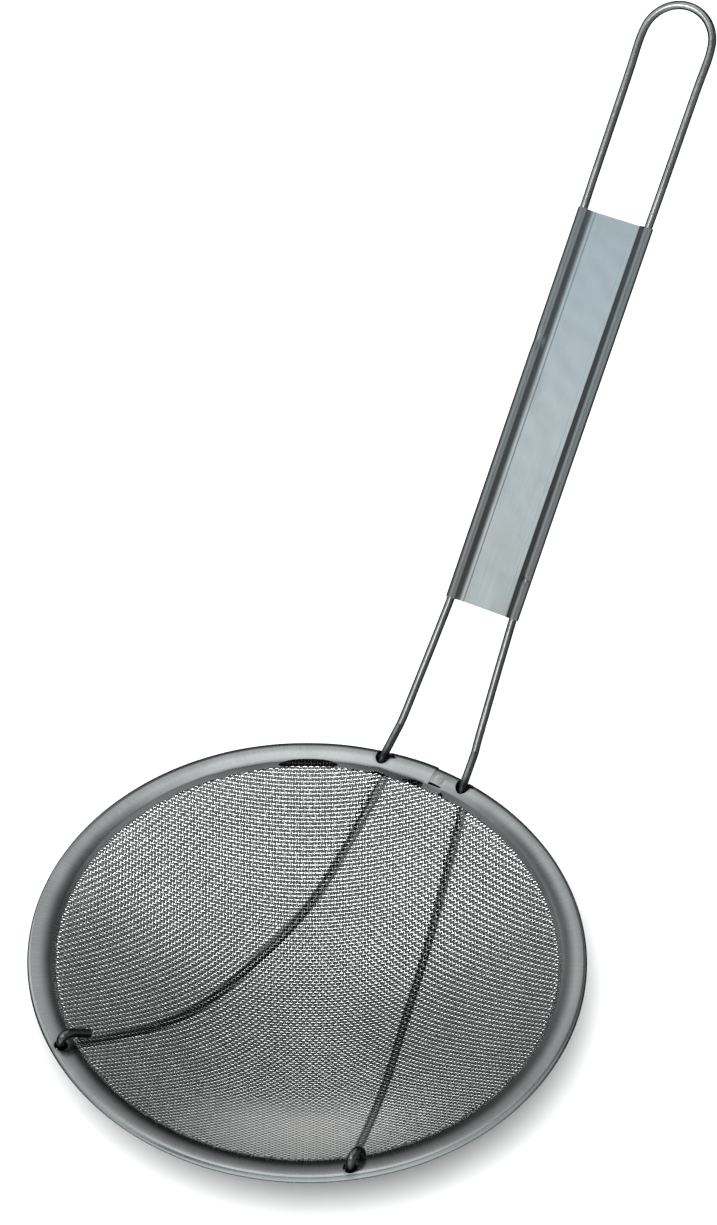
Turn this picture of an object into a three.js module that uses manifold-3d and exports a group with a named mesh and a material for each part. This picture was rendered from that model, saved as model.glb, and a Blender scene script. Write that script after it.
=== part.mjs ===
// Hand-held round strainer: a folded steel hoop that clamps two nested wire-cloth bowls, two frame wires
// that run from the grip through the hoop and under the bowls, a sheet grip curled round the wires, and a
// wire loop to hang it by.
//
// Millimetres, +Z up. Every piece is laid out from the centre of the hoop's top, and the last lines move
// the whole to the middle of its footprint. The handle rises over +Y, and the object is nearly mirrored
// about the plane X = 0.

import * as THREE from 'three';
import { mergeVertices } from 'three/addons/utils/BufferGeometryUtils.js';
import Module from 'manifold-3d';

const wasm = await Module();
wasm.setup();

// ---------------------------------------------------------------- driving dimensions

const hoopRadius = 100;          // outside of the hoop
const hoopSheet = 0.5;           // thickness of the hoop's strip
const beadRadius = 1.75;         // outside radius of the hoop's rounded outer edge
const lipRadius = 90.1;          // inner edge of the hoop's top face
const lipDrop = 3.0;             // how far that edge lies under the hoop's top
const lipWidth = 1.3;            // the lip's sloping edge
const crownWidth = 3.9;          // from the rounded edge to where the top face starts to slope
const seatInnerRadius = 93.3;    // inner edge of the hoop's flat underside
const lapAngle = 2.5;            // degrees from the handle's plane to the end of the hoop's lap
const lapLength = 8;
const lapStep = 0.7;             // how far the lap lies over the strip, in strip thicknesses

const clothThickness = 0.55;     // one layer of wire cloth
const clothGap = 0.1;            // between the two layers
const wireGap = 0.35;            // between the outer layer and the wires that carry it
const clothMouthRadius = 89.3;   // where the cloth turns down into the bowl
const clothMouthDepth = 3.65;
const clothBrim = 1.3;           // flat brim at the mouth
const clothEdgeRadius = 94.8;    // cloth edge inside the folded hoop
const clothEdgeDepth = 1.95;
const clothSeat = 2.4;           // width of that flat edge
const bowlDepth = 51;            // bottom of the inner cloth under the hoop's top
const bowlBottomRadius = 85;     // radius of curvature of the bowl's bottom
const bowlBottomAngle = 36;      // degrees from the axis at which the bottom meets the wall
const bowlMouthAngle = 40;       // degrees, slope of the wall at the mouth

const wireRadius = 1.5;
const holeClearance = 0.5;       // between a wire and its hole in the hoop

const handleAngle = 46.6;        // degrees above the hoop's plane
const kinkY = 107.4;             // bend of the frame wires outside the hoop
const kinkZ = 6.45;
const kinkHalfSpacing = 15.6;
const gripSheet = 0.4;           // thickness of the grip's sheet
const gripFit = 0.05;            // clearance between a wire and the sheet curled round it
const gripHalfSpacing = 12.75;   // wire centres inside the grip
const gripStart = 51.2;          // along the handle, from the kink
const gripLength = 149;
// How each long edge of the sheet is curled: the angle in degrees at which it leaves the wire, and where,
// from the grip's middle, its flange lands on the panel and ends.
const curls = {
  left: { leave: 150, landing: 9.6, edge: 8.3 },
  right: { leave: 142, landing: 9.2, edge: 7.8 },
};
const frameWireEnd = 140;        // where the frame wires end inside the curls
const loopLegStart = 142;        // where the legs of the loop end inside the curls
const loopTop = 277.9;           // centre of the wire at the top of the loop
const loopRadius = 13.2;

const hookRadius = 96.2;         // distance of the hooks' holes from the axis
const hookHalfSpacing = 56.2;
const entryHole = [16.6, 94.9, -0.4];    // where the right wire passes through the hoop's crown
const inwardBow = 2.9;           // of a frame wire between its two holes, seen from above
// [Y, Z] of the wire on its way from that hole down to the cloth.
const spanHeights = [[88, -11.7], [75, -25.2], [60, -38.2], [45, -45.7], [28, -48.4]];
// Each hook rises from its hole, bends over and runs down again. turn is the angle of its plane from the
// handle's, sweep how far round it bends, both in degrees; rise is the height of the bend's centre.
const hooks = {
  left: { turn: 33, rise: 2.0, bend: 2.7, sweep: 125, tail: 8.3 },
  right: { turn: -10, rise: 2.3, bend: 3.0, sweep: 170, tail: 3.0 },
};

const turnSegments = 64;
const wireSides = 12;
const degrees = Math.PI / 180;

// ---------------------------------------------------------------- solids

function toSolid(geometry) {
  const bare = geometry.index ? geometry.toNonIndexed() : geometry.clone();
  bare.deleteAttribute('normal');
  bare.deleteAttribute('uv');
  const merged = mergeVertices(bare, 1e-4);
  return new wasm.Manifold(new wasm.Mesh({
    numProp: 3,
    vertProperties: Float32Array.from(merged.attributes.position.array),
    triVerts: Uint32Array.from(merged.index.array),
  }));
}

function toGeometry(solid) {
  const mesh = solid.getMesh();
  const geometry = new THREE.BufferGeometry();
  geometry.setAttribute('position', new THREE.BufferAttribute(mesh.vertProperties, 3));
  geometry.setIndex(new THREE.BufferAttribute(mesh.triVerts, 1));
  geometry.computeVertexNormals();
  return geometry;
}

// A line of points moved sideways, to its left. Points on the axis of turning stay there.
function movedLeft(line, distance) {
  return line.map((point, i) => {
    const before = line[Math.max(i - 1, 0)];
    const after = line[Math.min(i + 1, line.length - 1)];
    const along = after.clone().sub(before).normalize();
    const moved = new THREE.Vector2(-along.y, along.x).multiplyScalar(distance).add(point);
    if (point.x === 0) moved.x = 0;
    return moved;
  });
}

// The closed outline of a bent strip: its centre line moved half the thickness to either side.
function stripOutline(centreLine, thickness) {
  const left = movedLeft(centreLine, thickness / 2);
  const right = movedLeft(centreLine, -thickness / 2);
  return [...left, ...right.reverse()];
}

// The points of a path, without the doubles where its pieces meet.
function pathPoints(path, divisions) {
  return path.getPoints(divisions).filter((p, i, all) => i === 0 || p.distanceTo(all[i - 1]) > 1e-6);
}

// Turns a closed (radius, height) outline round the Z axis.
function turned(outline) {
  const closed = THREE.ShapeUtils.area(outline) > 0 ? [...outline] : [...outline].reverse();
  closed.push(closed[0].clone());
  return new THREE.LatheGeometry(closed, turnSegments).rotateX(Math.PI / 2);
}

// A bent wire. Its samples are shared out evenly between its bend points, not by length, so that tight
// bends are as smooth as long straight runs.
class BentLine extends THREE.CatmullRomCurve3 {
  constructor(points) {
    super(points, false, 'centripetal');
  }

  getPointAt(u, target) {
    return this.getPoint(u, target);
  }

  getTangentAt(u, target) {
    return this.getTangent(u, target);
  }

  getSpacedPoints(divisions) {
    return this.getPoints(divisions);
  }
}

function wireGeometry(points, radius, stepsBetween) {
  const section = new THREE.Shape();
  for (let i = 0; i < wireSides; i += 1) {
    const angle = (2 * Math.PI * i) / wireSides;
    const place = [radius * Math.cos(angle), radius * Math.sin(angle)];
    if (i === 0) section.moveTo(...place);
    else section.lineTo(...place);
  }
  section.closePath();
  return new THREE.ExtrudeGeometry(section, {
    extrudePath: new BentLine(points),
    steps: (points.length - 1) * stepsBetween,
    bevelEnabled: false,
  });
}

// ---------------------------------------------------------------- hoop

// From the inner lip over the crown, round the outer edge and back along the flat underside.
const seatDepth = 2 * beadRadius;
function hoopCentreLine() {
  const half = hoopSheet / 2;
  const bead = new THREE.Vector2(hoopRadius - beadRadius, -beadRadius);
  const line = new THREE.Path();
  line.moveTo(lipRadius, -lipDrop);
  line.lineTo(lipRadius + lipWidth, -lipDrop + lipWidth);
  line.quadraticCurveTo(bead.x - crownWidth, -half, bead.x, -half);
  line.absarc(bead.x, bead.y, beadRadius - half, Math.PI / 2, -Math.PI / 2, true);
  line.lineTo(seatInnerRadius, -seatDepth + half);
  return pathPoints(line, 4);
}

// The end of the strip that laps over its start, between the handle wires.
function hoopLap() {
  const cover = hoopCentreLine().slice(1, -3);
  const outline = stripOutline(movedLeft(cover, hoopSheet * lapStep), hoopSheet);
  const lapEnd = hoopRadius * Math.sin(lapAngle * degrees);
  const hoopWidth = hoopRadius - lipRadius;
  const block = new THREE.BoxGeometry(lapLength, 2 * hoopWidth, 2 * hoopWidth);
  block.translate(lapEnd - lapLength / 2, hoopRadius - hoopWidth / 2, 0);
  return toSolid(turned(outline)).intersect(toSolid(block));
}

// Cuts the holes that the frame wires pass through, and drops the crumbs that the cuts leave.
function pierced(solid, wires) {
  const bores = wires.flatMap((wire) => wire.bores);
  const cut = bores.reduce((rest, bore) => (
    rest.subtract(toSolid(wireGeometry(bore, wireRadius + holeClearance, 2)))), solid);
  return cut.decompose().reduce((most, piece) => (piece.volume() > most.volume() ? piece : most));
}

function hoopGeometry(wires) {
  const strip = toSolid(turned(stripOutline(hoopCentreLine(), hoopSheet)));
  return toGeometry(pierced(strip.add(hoopLap()), wires));
}

// ---------------------------------------------------------------- bowls of wire cloth

// The middle of the inner cloth, from the axis: a ball-shaped bottom, a wall that steepens to the mouth,
// and an edge that rises into the folded hoop.
function clothMiddle() {
  const centreHeight = bowlBottomRadius - bowlDepth;
  const turn = bowlBottomAngle * degrees;
  const mouth = bowlMouthAngle * degrees;
  const start = new THREE.Vector2(
    bowlBottomRadius * Math.sin(turn), centreHeight - bowlBottomRadius * Math.cos(turn));
  const end = new THREE.Vector2(clothMouthRadius, -clothMouthDepth);
  const run = end.clone().sub(start);
  const reach = (run.y - run.x * Math.tan(mouth)) / (Math.tan(turn) - Math.tan(mouth));
  const line = new THREE.Path();
  line.moveTo(0, -bowlDepth);
  line.absarc(0, centreHeight, bowlBottomRadius, -Math.PI / 2, -Math.PI / 2 + turn, false);
  line.quadraticCurveTo(start.x + reach, start.y + reach * Math.tan(turn), end.x, end.y);
  line.lineTo(clothMouthRadius + clothBrim, -clothMouthDepth);
  line.lineTo(clothEdgeRadius - clothSeat, -clothEdgeDepth);
  line.lineTo(clothEdgeRadius, -clothEdgeDepth);
  const points = pathPoints(line, 4);
  points[0].x = 0;
  return points;
}

// layer is 0 for the inner cloth and 1 for the outer one.
const layerPitch = clothThickness + clothGap;
function clothGeometry(layer, wires) {
  const outline = stripOutline(movedLeft(clothMiddle(), -layer * layerPitch), clothThickness);
  const cloth = new THREE.LatheGeometry(outline.reverse(), turnSegments).rotateX(Math.PI / 2);
  return toGeometry(pierced(toSolid(cloth), wires));
}

// Height of a frame wire's centre that rests under both cloths, at a distance from the axis.
const wireUnderCloth = layerPitch + clothThickness / 2 + wireGap + wireRadius;
const restingLine = movedLeft(clothMiddle(), -wireUnderCloth);
function wireHeightUnderBowl(radius) {
  const i = restingLine.findIndex((p) => p.x >= radius);
  const low = restingLine[i - 1];
  const high = restingLine[i];
  return low.y + ((radius - low.x) / (high.x - low.x)) * (high.y - low.y);
}

// ---------------------------------------------------------------- frame wires

// A point on the handle: the distance along it from the kink, the distance from its middle plane, and the
// height over the plane of the wires.
const tilt = handleAngle * degrees;
function onHandle(along, x, height = 0) {
  return new THREE.Vector3(
    x,
    kinkY + along * Math.cos(tilt) - height * Math.sin(tilt),
    kinkZ + along * Math.sin(tilt) + height * Math.cos(tilt),
  );
}

// The path of the right wire between its two holes, seen from above.
const entry = new THREE.Vector3(...entryHole);
const hookBase = new THREE.Vector2(hookHalfSpacing, -Math.sqrt(hookRadius ** 2 - hookHalfSpacing ** 2));
function pathX(y) {
  const t = (entry.y - y) / (entry.y - hookBase.y);
  return entry.x + (hookBase.x - entry.x) * t - inwardBow * 4 * t * (1 - t);
}

// Straight inside the grip, then spreading slowly on the way down to the kink.
const spreading = [[43, 0.35], [31, 0.95], [15, 1.85], [3, 2.55]];    // [distance from the kink, spread]
function handlePart() {
  const inGrip = [frameWireEnd, (frameWireEnd + gripStart) / 2, gripStart + 8, gripStart - 1];
  return [
    ...inGrip.map((along) => onHandle(along, gripHalfSpacing)),
    ...spreading.map(([along, spread]) => onHandle(along, gripHalfSpacing + spread)),
    new THREE.Vector3(kinkHalfSpacing, kinkY, kinkZ),
    new THREE.Vector3(kinkHalfSpacing + 0.25, kinkY - 3, kinkZ - 1.65),
  ];
}

// From outside the hoop, through its crown and down to where the wire meets the cloth.
function entryPart() {
  const outside = entry.clone().add(new THREE.Vector3(-0.35, 4.5, 2.45));
  const inside = entry.clone().add(new THREE.Vector3(0.3, -2.6, -3.6));
  return [outside, entry.clone(), inside, ...spanHeights.map(([y, z]) => new THREE.Vector3(pathX(y), y, z))];
}

function bowlPart() {
  return [10, 0, -10, -20, -30, -40, -50, -60].map((y) => {
    const x = pathX(y);
    return new THREE.Vector3(x, y, wireHeightUnderBowl(Math.hypot(x, y)));
  });
}

// Under the hoop, up through its hole, over in an arch and down again.
const underHoop = -seatDepth - wireRadius - 0.25;
const inHole = -2.6;
const nearing = new THREE.Vector3(pathX(-70), -70, underHoop - 3.1);
const bending = new THREE.Vector3(pathX(-75.6), -75.6, underHoop - 0.4);
function hookPart({ turn, rise, bend, sweep, tail }) {
  const inward = new THREE.Vector2(-Math.sin(turn * degrees), Math.cos(turn * degrees));
  const place = (back, z) => new THREE.Vector3(
    hookBase.x + inward.x * back, hookBase.y + inward.y * back, z);
  // On the arch at an angle, and straight on from there for a length.
  const along = (a, length) => place(
    bend * (1 - Math.cos(a)) + length * Math.sin(a),
    rise + bend * Math.sin(a) + length * Math.cos(a),
  );
  const angles = [0, 0.2, 0.4, 0.6, 0.8, 1].map((part) => part * sweep * degrees);
  const arch = angles.map((a) => along(a, 0));
  return [nearing, bending, place(0, inHole), ...arch, along(sweep * degrees, tail)];
}

function frameWire(side) {
  const hook = hookPart(hooks[side]);
  const entering = entryPart();
  const points = [...handlePart(), ...entering, ...bowlPart(), ...hook];
  const bores = [entering.slice(0, 4), hook.slice(1, 4)];
  const mirror = (p) => (side === 'left' ? new THREE.Vector3(-p.x, p.y, p.z) : p);
  return { points: points.map(mirror), bores: bores.map((bore) => bore.map(mirror)) };
}

// ---------------------------------------------------------------- grip

// One side of the grip's section, from the middle of the panel out, round the wire and back down to a
// flange that lies just over the panel.
const panelHeight = -(wireRadius + gripFit + gripSheet / 2);
const flangeHeight = panelHeight + gripSheet + 0.1;
function gripHalf({ leave, landing, edge }) {
  const curl = -panelHeight;
  const start = leave * degrees;
  const line = new THREE.Path();
  line.moveTo(0, panelHeight);
  line.lineTo(gripHalfSpacing, panelHeight);
  line.absarc(gripHalfSpacing, 0, curl, -Math.PI / 2, start, false);
  const drop = curl * Math.sin(start) - flangeHeight;
  const foot = gripHalfSpacing + curl * Math.cos(start) + drop * Math.tan(start);
  line.quadraticCurveTo(foot, flangeHeight, landing, flangeHeight);
  line.lineTo(edge, flangeHeight);
  return pathPoints(line, 9);
}

function gripGeometry() {
  const right = gripHalf(curls.right);
  const left = gripHalf(curls.left).map((p) => new THREE.Vector2(-p.x, p.y));
  const centreLine = [...left.reverse().slice(0, -1), ...right.slice(1)];
  const section = new THREE.Shape(stripOutline(centreLine, gripSheet));
  const geometry = new THREE.ExtrudeGeometry(section, { depth: gripLength, steps: 1, bevelEnabled: false });
  // The section's up becomes the handle's up, and its depth runs along the handle.
  return geometry.rotateX(Math.PI / 2).translate(0, gripLength, 0);
}

// ---------------------------------------------------------------- hanging loop

// One leg up out of the grip, round the top and down the other leg.
function loopPoints() {
  const gripEnd = gripStart + gripLength;
  const bendStart = loopTop - loopRadius;
  const leg = [
    [loopLegStart, gripHalfSpacing],
    [gripEnd - 8, gripHalfSpacing],
    [gripEnd + 1, gripHalfSpacing],
    [gripEnd + 8, gripHalfSpacing + 0.1],
    [bendStart - 14, gripHalfSpacing + 0.3],
  ];
  const bend = [0, 22.5, 45, 67.5].map((angle) => [
    bendStart + loopRadius * Math.sin(angle * degrees), loopRadius * Math.cos(angle * degrees)]);
  const rising = [...leg, ...bend].map(([along, x]) => onHandle(along, x));
  const falling = [...leg, ...bend].reverse().map(([along, x]) => onHandle(along, -x));
  return [...rising, onHandle(loopTop, 0), ...falling];
}

// ---------------------------------------------------------------- assembly

const group = new THREE.Group();

function addMesh(name, geometry, look) {
  const mesh = new THREE.Mesh(geometry, new THREE.MeshStandardMaterial(look));
  mesh.name = name;
  group.add(mesh);
  return mesh;
}

const satin = { color: 0xa9acad, roughness: 0.32, metalness: 1 };
const polished = { color: 0xc2c7cc, roughness: 0.2, metalness: 1 };
const drawn = { color: 0x8d9092, roughness: 0.25, metalness: 1 };
const woven = { color: 0x9aa09e, roughness: 0.4, metalness: 1 };

const leftWire = frameWire('left');
const rightWire = frameWire('right');

const wires = [leftWire, rightWire];

addMesh('rim_band', hoopGeometry(wires), satin);
addMesh('sieve_inner', clothGeometry(0, wires), woven);
addMesh('sieve_outer', clothGeometry(1, wires), woven);
addMesh('frame_wire_left', wireGeometry(leftWire.points, wireRadius, 2), drawn);
addMesh('frame_wire_right', wireGeometry(rightWire.points, wireRadius, 2), drawn);

const grip = addMesh('grip_plate', gripGeometry(), polished);
grip.position.copy(onHandle(gripStart, 0));
grip.rotation.x = tilt;

addMesh('hanging_loop', wireGeometry(loopPoints(), wireRadius, 2), drawn);

// The part's origin is the middle of the object's footprint, at its lowest point.
const box = new THREE.Box3().setFromObject(group, true);
const middle = box.getCenter(new THREE.Vector3());
group.position.set(-middle.x, -middle.y, -box.min.z);

export default group;
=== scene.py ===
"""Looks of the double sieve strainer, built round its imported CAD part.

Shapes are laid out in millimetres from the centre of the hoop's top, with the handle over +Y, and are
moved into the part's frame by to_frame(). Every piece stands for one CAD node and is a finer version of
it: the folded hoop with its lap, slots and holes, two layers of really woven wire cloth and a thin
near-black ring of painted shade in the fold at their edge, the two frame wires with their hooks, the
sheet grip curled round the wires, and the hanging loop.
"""

from math import cos, hypot, pi, radians, sin, sqrt, tan

import bpy
import numpy as np
from mathutils import Matrix, Vector


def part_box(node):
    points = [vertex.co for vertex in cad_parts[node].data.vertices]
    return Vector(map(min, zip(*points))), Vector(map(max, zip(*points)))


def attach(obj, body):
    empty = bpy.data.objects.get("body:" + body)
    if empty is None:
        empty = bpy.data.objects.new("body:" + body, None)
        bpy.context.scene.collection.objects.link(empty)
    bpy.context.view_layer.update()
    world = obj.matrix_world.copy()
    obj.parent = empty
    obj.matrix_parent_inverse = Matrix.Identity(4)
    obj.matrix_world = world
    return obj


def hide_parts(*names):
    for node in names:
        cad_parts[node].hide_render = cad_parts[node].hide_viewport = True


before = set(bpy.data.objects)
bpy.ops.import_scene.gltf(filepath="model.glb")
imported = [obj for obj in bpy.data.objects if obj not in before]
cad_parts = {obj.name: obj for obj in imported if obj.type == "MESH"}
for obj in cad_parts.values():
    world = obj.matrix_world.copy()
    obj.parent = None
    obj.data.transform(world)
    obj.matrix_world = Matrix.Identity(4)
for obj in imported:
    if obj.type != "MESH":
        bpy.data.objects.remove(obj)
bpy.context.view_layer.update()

# ------------------------------------ driving dimensions, mm

HOOP_RADIUS = 100.0
HOOP_SHEET = 0.5
BEAD_RADIUS = 1.75
SEAT_DEPTH = 2 * BEAD_RADIUS
SEAT_INNER_RADIUS = 93.3
LIP_RADIUS = 90.1
LIP_DROP = 3.0
LIP_WIDTH = 1.3
LIP_SLOPE_WIDTH = 3.4
CROWN_WIDTH = 3.9

# The lap of the hoop's ends, its spot weld and a dent, by way round the hoop from the handle's plane.
SEAM_X = 4.36
LAP_RISE = 0.42
LAP_RUN = 16.0
WELD_X = 7.6
WELD_FROM_AXIS = 94.6
WELD_RADIUS = 2.2
DENT_X = -17.5
DENT_WIDTH = 3.2
DENT_DEPTH = 0.55

# Plain weaves: distance between threads, thread diameter, and how far threads rise over each other.
FINE = {"pitch": 1.17, "wire": 0.34, "lift": 0.175}
COARSE = {"pitch": 2.34, "wire": 0.32, "lift": 0.17}
THREAD_STRAY = 0.012
THREAD_WANDER = 0.05
HILL_HEIGHT = 0.06
CLOTH_LAYER = 0.82
CLOTH_LAYER_AT_EDGE = 0.62
CLOTH_MOUTH_RADIUS = 89.3
CLOTH_MOUTH_DEPTH = 3.65
CLOTH_EDGE_RADIUS = 94.4
CLOTH_EDGE_DEPTH = 1.95
FOLD_SHADE_THICKNESS = 0.14
BOWL_DEPTH = 51.0
BOWL_RADIUS = 85.0
BOWL_ANGLE = 36.0
MOUTH_ANGLE = 40.0

WIRE_RADIUS = 1.5
WIRE_ROUNDING = 0.5
HANDLE_ANGLE = 46.6
KINK = (15.6, 107.4, 6.45)
GRIP_SHEET = 0.4
GRIP_FIT = 0.05
GRIP_HALF = 12.75
GRIP_START = 51.2
GRIP_LENGTH = 149.0
GRIP_EASE = 0.25
FRAME_WIRE_END = 140.0
LOOP_LEG_START = 142.0
LOOP_TOP = 277.9
LOOP_BEND_RADIUS = 13.2

# The frame wires' way through the hoop and under the bowl.
ENTRY = (16.6, 94.9, -0.4)
ABOVE_ENTRY = (-0.35, 4.5, 2.45)
BELOW_ENTRY = (0.3, -2.6, -3.6)
HOOK_RADIUS = 96.2
HOOK_HALF = 56.2
PATH_BOW = 2.9
SWELL = 0.12
SWELL_REACH = 22.0
SWELL_RUN = 8.0

# Fineness of the meshes.
THREAD_SIDES = 6
WIRE_SIDES = 28
WIRE_STEP = 0.5
END_RINGS = 6
STRIP_END_POINTS = 5
SEAT_POINTS = 5
NOISE_WAVES = 14

# The viewer stands this many degrees from the handle's plane and looks down by this many.
VIEW_TURN = 26.9
VIEW_RISE = 51.35
view_turn = radians(VIEW_TURN)
view_rise = radians(VIEW_RISE)
VIEW_RIGHT = np.array([cos(view_turn), sin(view_turn), 0.0])
VIEW_AWAY = np.array([-sin(view_turn), cos(view_turn), 0.0])

# The hoop's centre in the part's frame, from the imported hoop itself.
hoop_low = np.array(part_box("rim_band")[0]) * 1000
ORIGIN = np.array([0.0, hoop_low[1] + HOOP_RADIUS, hoop_low[2] + SEAT_DEPTH])
random = np.random.default_rng(7)


def to_frame(points):
    return (np.asarray(points, float) + ORIGIN) / 1000


# ------------------------------------ meshes


def add_object(name, data):
    obj = bpy.data.objects.new(name, data)
    bpy.context.scene.collection.objects.link(obj)
    return obj


def quad_object(name, points, quads):
    """A smooth mesh of four-sided faces from arrays, fast enough for the woven cloth."""
    mesh = bpy.data.meshes.new(name)
    mesh.vertices.add(len(points))
    mesh.vertices.foreach_set("co", to_frame(points).astype(np.float32).ravel())
    mesh.loops.add(quads.size)
    mesh.loops.foreach_set("vertex_index", quads.astype(np.int32).ravel())
    mesh.polygons.add(len(quads))
    mesh.polygons.foreach_set("loop_start", np.arange(0, quads.size, 4, dtype=np.int32))
    mesh.update(calc_edges=True)
    mesh.polygons.foreach_set("use_smooth", np.ones(len(quads), bool))
    return add_object(name, mesh)


def face_object(name, points, faces, sharp=40):
    """A mesh from lists of faces of any kind, smooth but for edges sharper than an angle in degrees."""
    mesh = bpy.data.meshes.new(name)
    mesh.from_pydata(to_frame(points).tolist(), [], faces)
    mesh.shade_smooth()
    mesh.set_sharp_from_angle(angle=radians(sharp))
    return add_object(name, mesh)


def grid_faces(rings, around, closed=False):
    """Quads between rings of points that follow each other; closed joins the last ring to the first."""
    i = np.arange(rings if closed else rings - 1)
    i, j = np.meshgrid(i, np.arange(around), indexing="ij")
    i2 = (i + 1) % rings
    j2 = (j + 1) % around
    corners = [i * around + j, i * around + j2, i2 * around + j2, i2 * around + j]
    return np.stack(corners, -1).reshape(-1, 4)


def capped_faces(rings, around):
    """Quads between rings of points, and one face over each end."""
    faces = grid_faces(rings, around).tolist()
    faces.append(list(range(around))[::-1])
    faces.append(list(range((rings - 1) * around, rings * around)))
    return faces


def unit(vectors):
    return vectors / np.linalg.norm(vectors, axis=-1, keepdims=True)


def lengths_along(line):
    return np.linalg.norm(np.diff(line, axis=0), axis=1)


def between(first, second, start, end, t):
    """Goes from the first point, when t is start, to the second, when it is end."""
    return (end - t) / (end - start) * first + (t - start) / (end - start) * second


def curve_through(points):
    """A smooth line through bend points: a centripetal Catmull-Rom curve, evenly sampled and relaxed."""
    p = np.asarray(points, float)
    p = np.vstack([2 * p[0] - p[1], p, 2 * p[-1] - p[-2]])
    knots = np.concatenate([[0], np.cumsum(lengths_along(p) ** 0.5)])
    samples = []
    for i in range(1, len(p) - 2):
        k0, k1, k2, k3 = knots[i - 1:i + 3]
        t = np.linspace(k1, k2, 40, endpoint=False)[:, None]
        a1 = between(p[i - 1], p[i], k0, k1, t)
        a2 = between(p[i], p[i + 1], k1, k2, t)
        a3 = between(p[i + 1], p[i + 2], k2, k3, t)
        samples.append(between(between(a1, a2, k0, k2, t), between(a2, a3, k1, k3, t), k1, k2, t))
    line = np.vstack(samples + [p[-2:-1]])
    length = np.concatenate([[0], np.cumsum(lengths_along(line))])
    even = np.linspace(0, length[-1], int(length[-1] / WIRE_STEP) + 1)
    line = np.stack([np.interp(even, length, line[:, k]) for k in range(3)], -1)
    return relaxed(line, 6)


def relaxed(line, times):
    """Each point but the end ones moved towards the middle of its neighbours, a few times."""
    for _ in range(times):
        line[1:-1] = line[1:-1] / 2 + (line[:-2] + line[2:]) / 4
    return line


def side_vectors(line):
    """Two directions square to a line at each of its points, turning as little as possible along it."""
    along = unit(np.gradient(line, axis=0))
    side = np.cross(along[0], [0.0, 0.0, 1.0])
    if np.linalg.norm(side) < 0.1:
        side = np.cross(along[0], [1.0, 0.0, 0.0])
    sides = []
    for a in along:
        side = side - a * np.dot(side, a)
        side = side / np.linalg.norm(side)
        sides.append(side)
    sides = np.array(sides)
    return sides, np.cross(along, sides)


def tube(path, radii, across, over, sides):
    """A closed round tube along a path, as points and faces."""
    angle = np.linspace(0, 2 * pi, sides, endpoint=False)
    ring = np.cos(angle)[None, :, None] * across[:, None] + np.sin(angle)[None, :, None] * over[:, None]
    points = path[:, None] + ring * np.asarray(radii)[:, None, None]
    return points.reshape(-1, 3), capped_faces(len(path), sides)


def wire_object(name, line, swell=0.0):
    """A round wire along a line, with rounded edges at its two cut ends. It may swell towards its end."""
    along = unit(np.gradient(line, axis=0))
    steps = np.linspace(0, pi / 2, END_RINGS)
    first = [line[0] + along[0] * WIRE_ROUNDING * (1 - sin(a)) for a in steps]
    last = [line[-1] - along[-1] * WIRE_ROUNDING * (1 - sin(a)) for a in steps[::-1]]
    shrink = [WIRE_RADIUS - WIRE_ROUNDING * (1 - cos(a)) for a in steps]
    inner = line[2:-2]
    # The rings at an end run from the cut face out to the full radius.
    path = np.vstack([first[::-1], inner, last[::-1]])
    to_end = np.arange(len(path))[::-1] * np.linalg.norm(line[1] - line[0])
    radii = np.concatenate([shrink[::-1], np.full(len(inner), WIRE_RADIUS), shrink])
    radii = radii * (1 + swell * np.clip((SWELL_REACH - to_end) / SWELL_RUN, 0, 1))
    across, over = side_vectors(path)
    across[:END_RINGS], over[:END_RINGS] = across[END_RINGS], over[END_RINGS]
    across[-END_RINGS:], over[-END_RINGS:] = across[-END_RINGS - 1], over[-END_RINGS - 1]
    return face_object(name, *tube(path, radii, across, over, WIRE_SIDES), sharp=60)


def sine_noise(x, y, size):
    """Smooth random hills over a plane, between about -1 and 1, with features of the given size."""
    total = np.zeros(np.broadcast(x, y).shape)
    for _ in range(NOISE_WAVES):
        heading = random.uniform(0, 2 * pi)
        wave = 2 * pi / (size * random.uniform(0.7, 2.2))
        phase = random.uniform(0, 2 * pi)
        total += np.sin(wave * (x * cos(heading) + y * sin(heading)) + phase)
    return total / sqrt(NOISE_WAVES)


def arc(centre, radius, start, end, count):
    angle = np.radians(np.linspace(start, end, count))
    return np.stack([centre[0] + radius * np.cos(angle), centre[1] + radius * np.sin(angle)], -1)


def bent(start, control, end, count):
    t = np.linspace(0, 1, count)[:, None]
    return (1 - t) ** 2 * np.array(start) + 2 * t * (1 - t) * np.array(control) + t ** 2 * np.array(end)


def strip_outline(line, thickness):
    """The closed outline of a bent strip with round edges, from its centre line."""
    along = unit(np.gradient(line, axis=0))
    left = np.stack([-along[:, 1], along[:, 0]], -1)
    half = thickness / 2
    sweep = np.radians(np.linspace(90, -90, STRIP_END_POINTS + 2))[1:-1]
    end = [line[-1] + half * (cos(a) * along[-1] + sin(a) * left[-1]) for a in sweep]
    start = [line[0] - half * (cos(a) * along[0] + sin(a) * left[0]) for a in sweep]
    return np.vstack([line + half * left, end, (line - half * left)[::-1], start])


# ------------------------------------ hoop


def hoop_section():
    """Centre line of the folded strip: lip, crown, bead and flat underside, as (radius, height)."""
    half = HOOP_SHEET / 2
    bead = (HOOP_RADIUS - BEAD_RADIUS, -BEAD_RADIUS)
    lip_end = (LIP_RADIUS + LIP_WIDTH, -LIP_DROP + LIP_WIDTH)
    lip = np.linspace((LIP_RADIUS, -LIP_DROP), lip_end, 6)[:-1]
    crown = bent(lip_end, (bead[0] - CROWN_WIDTH, -half), (bead[0], -half), 14)
    outer = arc(bead, BEAD_RADIUS - half, 90, -90, 20)[1:]
    seat = np.linspace(outer[-1], (SEAT_INNER_RADIUS, -SEAT_DEPTH + half), SEAT_POINTS + 1)[1:]
    return np.vstack([lip, crown, outer, seat])


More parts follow.
